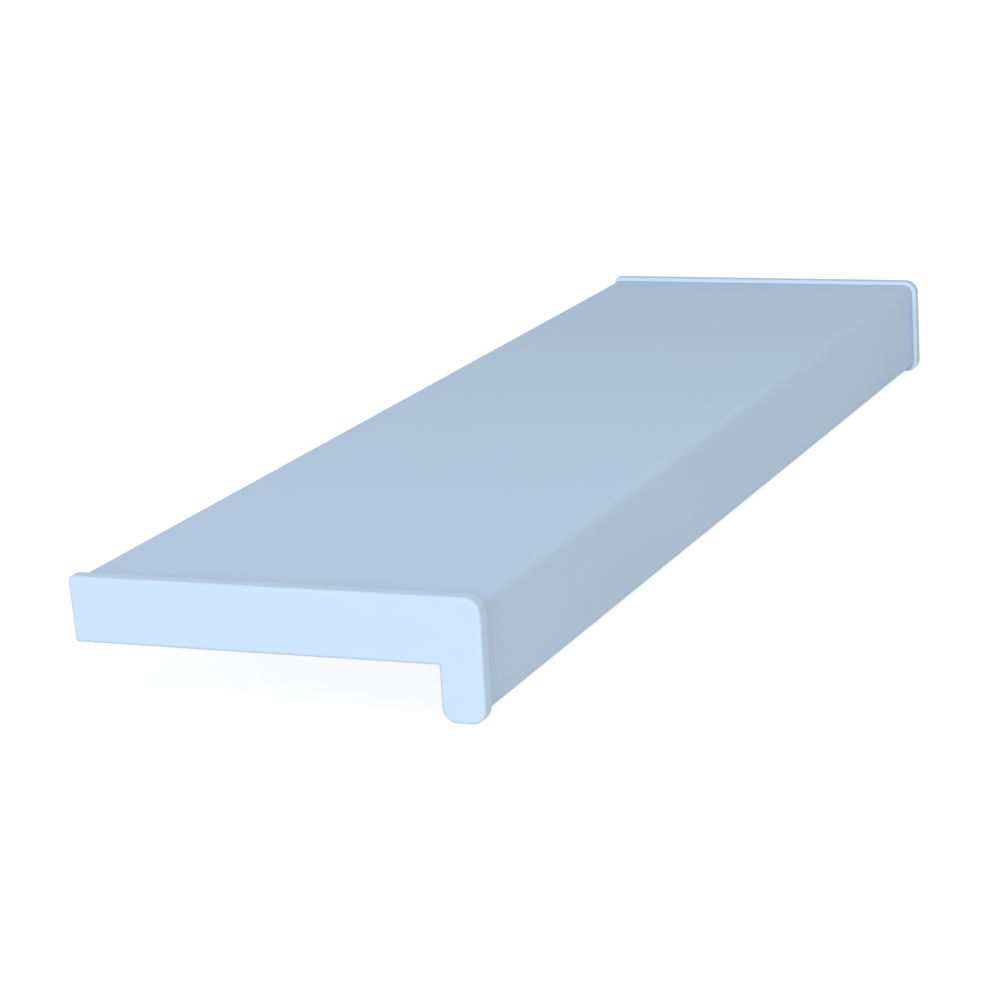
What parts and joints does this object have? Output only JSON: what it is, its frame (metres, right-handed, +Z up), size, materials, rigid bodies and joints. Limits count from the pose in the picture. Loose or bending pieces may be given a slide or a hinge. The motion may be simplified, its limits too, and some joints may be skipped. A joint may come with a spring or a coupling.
{
  "type": "window sill board",
  "caption": "Hollow plastic interior window sill board with an L-shaped front nose and a moulded cap on each end.",
  "frame": {"origin": "bottom centre of the whole board with its caps, level with the foot of the nose", "axes": "+X along the board towards the right cap, -Y to the room side where the nose is, +Y to the window, +Z up"},
  "size_m": [0.56, 0.1533, 0.0438],
  "materials": {
    "board": "satin extruded rigid PVC, pale bluish white",
    "cap": "soft gloss moulded plastic, pale bluish white"
  },
  "bodies": {
    "root": {"sill_board": "board", "end_cap_left": "cap", "end_cap_right": "cap"}
  },
  "joints": []
}
